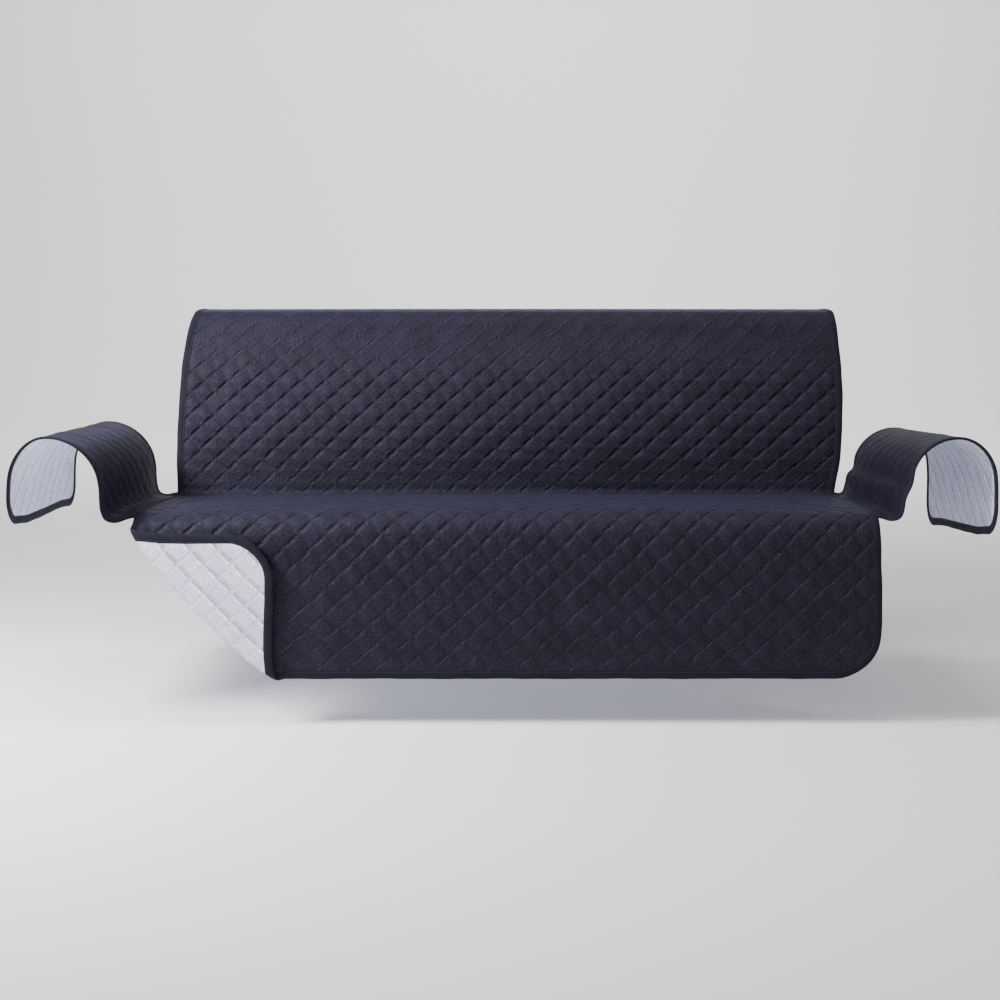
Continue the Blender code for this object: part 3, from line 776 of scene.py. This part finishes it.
def tapeMaterial(name, settings):
    material, tree, shader = newMaterial(name, {
        "Roughness": settings["roughness"], "Specular IOR Level": settings["specular"],
        "Sheen Weight": settings["sheen"], "Sheen Tint": toLinear(settings["sheenTint"]),
    })
    flat = addNode(tree, "ShaderNodeUVMap", {"uv_map": "flatCloth"}).outputs[0]
    along = addNode(tree, "ShaderNodeSeparateXYZ", links={0: flat}).outputs["X"]
    rib = combine(tree, "PINGPONG", combine(tree, "DIVIDE", along, settings["rib"]), 0.5)
    place = addNode(tree, "ShaderNodeTexCoord").outputs["Object"]
    wear = noiseOf(tree, place, settings["patch"], 4.0, 0.5)
    fuzz = noiseOf(tree, place, settings["fibre"], 2.0, 0.5)
    shade = rampOf(tree, wear, *settings["wornBand"], settings["dark"], settings["light"])
    striped = scaleColour(tree, shade, shapedRange(tree, rib, 0.0, 0.5, *settings["ribShades"], "LINEAR"))
    tree.links.new(striped, shader.inputs["Base Color"])
    addRelief(tree, shader, ((rib, settings["ribDepth"], 0.5), (fuzz, settings["fibreDepth"], 0.5)))
    return material


# woven polyester tape folded over the edge: fine crosswise ribs, a shade deeper than the face
navyTape = tapeMaterial("wovenNavyTape", {
    "dark": "#161520", "light": "#1b1a26", "patch": 0.05, "wornBand": (0.35, 0.65),
    "rib": 0.0016, "ribShades": (0.86, 1.08), "ribDepth": 0.0004, "fibre": 0.0009, "fibreDepth": 0.0003,
    "roughness": 0.78, "specular": 0.12, "sheen": 0.05, "sheenTint": "#8f8fb0",
})
# spun polyester thread: slightly glossy, catches light along each stitch
spunThread = {"dark": "#232231", "light": "#2c2b3e", "fibre": 1 / 900, "roughness": 0.5}
threadFinish = {"Roughness": spunThread["roughness"]}
threadMaterial, threadTree, threadShader = newMaterial("spunNavyThread", threadFinish)
threadPlace = addNode(threadTree, "ShaderNodeTexCoord").outputs["Object"]
threadNoise = noiseOf(threadTree, threadPlace, spunThread["fibre"], 2.0, 0.5)
threadShade = rampOf(threadTree, threadNoise, 0.0, 1.0, spunThread["dark"], spunThread["light"])
threadTree.links.new(threadShade, threadShader.inputs["Base Color"])


# creases laid in: middle across and along, turn in degrees, length, width, depth
mainCreases = (
    (-0.70, 0.47, 35, 0.30, 0.050, -0.0030),  # seat, out of its front corners
    (0.72, 0.50, 140, 0.28, 0.050, -0.0030),
    (-0.74, 0.62, 70, 0.26, 0.045, -0.0024),  # seat, beside the arm flaps
    (0.76, 0.66, 106, 0.24, 0.045, -0.0022),
    (-0.20, 0.40, 4, 0.55, 0.036, 0.0022),  # along the seat's front edge
    (0.38, 0.41, -3, 0.42, 0.032, 0.0020),
    (0.05, 0.62, 2, 0.80, 0.120, -0.0030),  # sag across the seat
    (-0.52, 0.935, 3, 0.36, 0.022, -0.0020),  # foot of the back
    (0.30, 0.945, -2, 0.50, 0.024, -0.0022),
    (-0.66, 1.27, 62, 0.22, 0.050, 0.0020),  # back
    (0.60, 1.10, 110, 0.30, 0.060, -0.0022),
    (-0.10, 1.16, 84, 0.34, 0.070, 0.0018),
    (-0.40, 0.16, 84, 0.24, 0.050, 0.0022),  # front drop
    (0.12, 0.18, 95, 0.28, 0.060, -0.0022),
    (0.58, 0.20, 80, 0.26, 0.050, 0.0020),
)
armCreases = (
    (0.10, 0.29, 84, 0.20, 0.036, -0.0014),  # where the flap leaves the seat
    (0.30, 0.17, 9, 0.24, 0.040, 0.0014),  # over the flap's top
    (0.27, 0.39, -12, 0.26, 0.045, -0.0016),
)


# how far the creases of a table lift the cloth at a flat position
def creaseField(table):
    def rise(u, v):
        total = np.zeros(np.broadcast(u, v).shape)
        for middleU, middleV, degrees, length, width, depth in table:
            turn = math.radians(degrees)
            along = (u - middleU) * math.cos(turn) + (v - middleV) * math.sin(turn)
            aside = -(u - middleU) * math.sin(turn) + (v - middleV) * math.cos(turn)
            total = total + depth * np.exp(-(along / (length / 2)) ** 2 - (aside / (width / 2)) ** 2)
        return total
    return rise


mainRise = creaseField(mainCreases)
armRise = creaseField(armCreases)

# the main panel, its reverse and its tape
mainRadius = cover["cornerRadius"]
mainCore = ((mainRadius - halfWidth, mainRadius), (halfWidth - mainRadius, mainLength - mainRadius))
mainLow, mainHigh = (-halfWidth, 0.0), (halfWidth, mainLength)
facePuff = (quilting["puff"], quilting["faceSeams"])
reversePuff = (quilting["reversePuff"], quilting["reverseSeams"])
mainSheet = (turnedPoint, mainCore, mainRadius, None)
mainEdge = (turnedPoint, mainLow, mainHigh, mainRadius, False, 0.0, mainRise, False)
mainFace = quiltedSheet("mainFace", *mainSheet, layers["face"], facePuff, mainRise, False, navyMicrofibre)
print("main face:", len(mainFace.data.polygons), "faces")
mainReverse = quiltedSheet("mainReverse", *mainSheet, layers["reverse"], reversePuff, mainRise, False,
                           paleReverse)
print("main reverse:", len(mainReverse.data.polygons), "faces")
mainTape = bindingTape("mainTape", *mainEdge, navyTape)
print("main tape:", len(mainTape.data.polygons), "faces")

# the arm flaps
armPieces = {}
stitchSpots = [stitchRow(*mainEdge)]
armRadius = armFlap["cornerRadius"]
armCore = ((-1.0, armRadius), (armFlap["length"] - armRadius, armFlap["depth"] - armRadius))
armLow, armHigh = (armFlap["gap"], 0.0), (armFlap["length"], armFlap["depth"])
for sideName in ("left", "right"):
    surface = armSurface(*armFlap[sideName])
    turnedOver = sideName == "left"
    sheet = (surface, armCore, armRadius, armFlap["gap"])
    edge = (surface, armLow, armHigh, armRadius, True, armFlap["tapeLift"], armRise, turnedOver)
    face = quiltedSheet(sideName + "ArmFace", *sheet, layers["armFace"], facePuff, armRise, turnedOver,
                        shadedArmMicrofibre)
    reverse = quiltedSheet(sideName + "ArmReverse", *sheet, layers["armReverse"], reversePuff, armRise,
                           turnedOver, paleReverse)
    tape = bindingTape(sideName + "ArmTape", *edge, navyTape)
    armPieces[sideName] = (face, reverse, tape)
    stitchSpots.append(stitchRow(*edge))
    print(sideName, "arm flap:", len(face.data.polygons) + len(reverse.data.polygons), "faces")

# lines of stitches, laid by Geometry Nodes on points along the tape
stitches = {"length": 0.0034, "width": 0.0011, "height": 0.0009, "sides": 6, "rings": 4}


def stitchTree(material):
    tree = bpy.data.node_groups.new("stitchLine", "GeometryNodeTree")
    tree.interface.new_socket("Geometry", in_out="INPUT", socket_type="NodeSocketGeometry")
    for socket in ("Length", "Width", "Height"):
        tree.interface.new_socket(socket, in_out="INPUT", socket_type="NodeSocketFloat")
    tree.interface.new_socket("Geometry", in_out="OUTPUT", socket_type="NodeSocketGeometry")
    inputs = addNode(tree, "NodeGroupInput")
    outputs = addNode(tree, "NodeGroupOutput")
    bead = addNode(tree, "GeometryNodeMeshUVSphere",
                   {"Segments": stitches["sides"], "Rings": stitches["rings"], "Radius": 0.5})
    length, width, height = (inputs.outputs[label] for label in ("Length", "Width", "Height"))
    size = addNode(tree, "ShaderNodeCombineXYZ", links={0: length, 1: width, 2: height})
    shaped = addNode(tree, "GeometryNodeTransform",
                     links={"Geometry": bead.outputs["Mesh"], "Scale": size.outputs[0]})
    forward, upward = (
        addNode(tree, "GeometryNodeInputNamedAttribute", {"data_type": "FLOAT_VECTOR", "Name": label})
        for label in ("stitchForward", "stitchUp"))
    faceForward = addNode(tree, "FunctionNodeAlignRotationToVector", {"axis": "X"},
                          {"Vector": forward.outputs["Attribute"]})
    faceUp = addNode(tree, "FunctionNodeAlignRotationToVector", {"axis": "Z", "pivot_axis": "X"},
                     {"Rotation": faceForward.outputs[0], "Vector": upward.outputs["Attribute"]})
    laid = addNode(tree, "GeometryNodeInstanceOnPoints", links={
        "Points": inputs.outputs["Geometry"], "Instance": shaped.outputs["Geometry"],
        "Rotation": faceUp.outputs[0]})
    real = addNode(tree, "GeometryNodeRealizeInstances", links={0: laid.outputs[0]})
    finish = addNode(tree, "GeometryNodeSetMaterial", {"Material": material}, {"Geometry": real.outputs[0]})
    tree.links.new(finish.outputs[0], outputs.inputs[0])
    return tree


def layStitches(name, spots, forward, upward, tree):
    mesh = bpy.data.meshes.new(name)
    mesh.from_pydata((spots - coverOrigin).tolist(), [], [])
    for label, values in (("stitchForward", forward), ("stitchUp", upward)):
        attribute = mesh.attributes.new(label, "FLOAT_VECTOR", "POINT")
        attribute.data.foreach_set("vector", values.ravel())
    guide = addToScene(name + "Guide", mesh)
    modifier = guide.modifiers.new("stitches", "NODES")
    modifier.node_group = tree
    for item in tree.interface.items_tree:
        if item.in_out == "INPUT" and item.name.lower() in stitches:
            modifier[item.identifier] = stitches[item.name.lower()]
    graph = bpy.context.evaluated_depsgraph_get()
    made = bpy.data.meshes.new_from_object(guide.evaluated_get(graph))
    bpy.data.objects.remove(guide, do_unlink=True)
    made.name = name
    made.polygons.foreach_set("use_smooth", [True] * len(made.polygons))
    return addToScene(name, made)


stitchNodes = stitchTree(threadMaterial)
mainStitches = layStitches("mainStitches", *stitchSpots[0], stitchNodes)
leftStitches = layStitches("leftArmStitches", *stitchSpots[1], stitchNodes)
rightStitches = layStitches("rightArmStitches", *stitchSpots[2], stitchNodes)
print("stitches:", sum(len(p.data.polygons) for p in (mainStitches, leftStitches, rightStitches)), "faces")

# what stands for which solid
for piece, slot, nodes in (
        (mainFace, "quilted_face", ("main_panel",)), (mainReverse, "lining", ("main_lining",)),
        (mainTape, "binding", ("main_binding",)), (mainStitches, "binding", ()),
        (armPieces["left"][0], "quilted_face", ("left_arm_flap",)), (armPieces["left"][1], "lining", ()),
        (armPieces["left"][2], "binding", ("left_arm_binding",)), (leftStitches, "binding", ()),
        (armPieces["right"][0], "quilted_face", ("right_arm_flap",)), (armPieces["right"][1], "lining", ()),
        (armPieces["right"][2], "binding", ("right_arm_binding",)), (rightStitches, "binding", ())):
    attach(piece, "root")
    if nodes:
        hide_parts(*nodes)
for sideName, lines in (("left", leftStitches), ("right", rightStitches)):
    face, reverse, tape = armPieces[sideName]

# floor with a sweep behind, light and camera
studio = {
    "floor": "#f6f6f6",
    "halfWidth": 30.0,
    "front": -30.0,
    "wallAt": 9.0,
    "sweepRadius": 2.5,
    "sweepSteps": 16,
    "wallHeight": 7.0,
    "world": "#ffffff",
    "worldStrength": 0.46,
    "cameraAt": (-0.0045, -3.97, 1.02),
    "tilt": 7.26,  # degrees down from level
    "focalPixels": 1790,  # focal length, in pixels of a picture this many across
    "pictureWidth": 1000,
    "sensorWidth": 36,
}
sweep = [(studio["front"], 0.0)]
for step in range(studio["sweepSteps"] + 1):
    turn = math.radians(90 * step / studio["sweepSteps"])
    sweep.append((studio["wallAt"] + studio["sweepRadius"] * (math.sin(turn) - 1),
                  studio["sweepRadius"] * (1 - math.cos(turn))))
sweep.append((studio["wallAt"], studio["wallHeight"]))
floorPoints = [(x, y, z) for y, z in sweep for x in (-studio["halfWidth"], studio["halfWidth"])]
floorMesh = bpy.data.meshes.new("studioFloor")
floorMesh.from_pydata([tuple(np.array(point) - (0, 0, cover["origin"][2])) for point in floorPoints], [],
                      [(2 * k, 2 * k + 1, 2 * k + 3, 2 * k + 2) for k in range(len(sweep) - 1)])
floorMesh.polygons.foreach_set("use_smooth", [True] * len(floorMesh.polygons))
# matt emulsion paint
floorFinish = {"Base Color": toLinear(studio["floor"]), "Roughness": 0.9}
floorMesh.materials.append(newMaterial("paintedStudioFloor", floorFinish)[0])
floor = addToScene("studioFloor", floorMesh)

world = bpy.data.worlds.new("studioWorld")
world.use_nodes = True
world.node_tree.nodes["Background"].inputs[0].default_value = toLinear(studio["world"])
world.node_tree.nodes["Background"].inputs[1].default_value = studio["worldStrength"]
bpy.context.scene.world = world


def areaLight(name, at, towards, size, power, colour):
    data = bpy.data.lights.new(name, "AREA")
    data.shape = "RECTANGLE"
    data.size, data.size_y = size
    data.energy = power
    data.color = toLinear(colour)[:3]
    lamp = addToScene(name, data)
    start, end = Vector(at) - Vector(cover["origin"]), Vector(towards) - Vector(cover["origin"])
    lamp.location = start
    lamp.rotation_euler = (end - start).to_track_quat("-Z", "Y").to_euler()
    lamp.visible_camera = False


# lamp, where it hangs, what it points at, width and length, watts, colour
for lampSettings in (
        ("keyLight", (-2.05, -0.55, 1.75), (-0.42, 0.48, 0.66), (0.6, 0.6), 130, "#fdfcfd"),
        ("sideLight", (2.5, -1.5, 3.0), (0.2, 0.3, 0.5), (1.0, 1.0), 16, "#ffffff"),
        ("topLight", (-0.1, -0.3, 3.2), (0.0, 0.4, 0.5), (2.2, 0.8), 54, "#ffffff"),
        ("backdropLight", (0.0, 4.8, 4.6), (0.0, 9.0, 1.6), (7.0, 1.0), 400, "#ffffff")):
    areaLight(*lampSettings)

cameraData = bpy.data.cameras.new("photoCamera")
cameraData.sensor_width = studio["sensorWidth"]
cameraData.lens = studio["focalPixels"] / studio["pictureWidth"] * studio["sensorWidth"]
camera = addToScene("photoCamera", cameraData)
camera.location = Vector(studio["cameraAt"]) - Vector(cover["origin"])
camera.rotation_euler = (math.radians(90 - studio["tilt"]), 0, 0)
bpy.context.scene.camera = camera

bpy.context.view_layer.update()
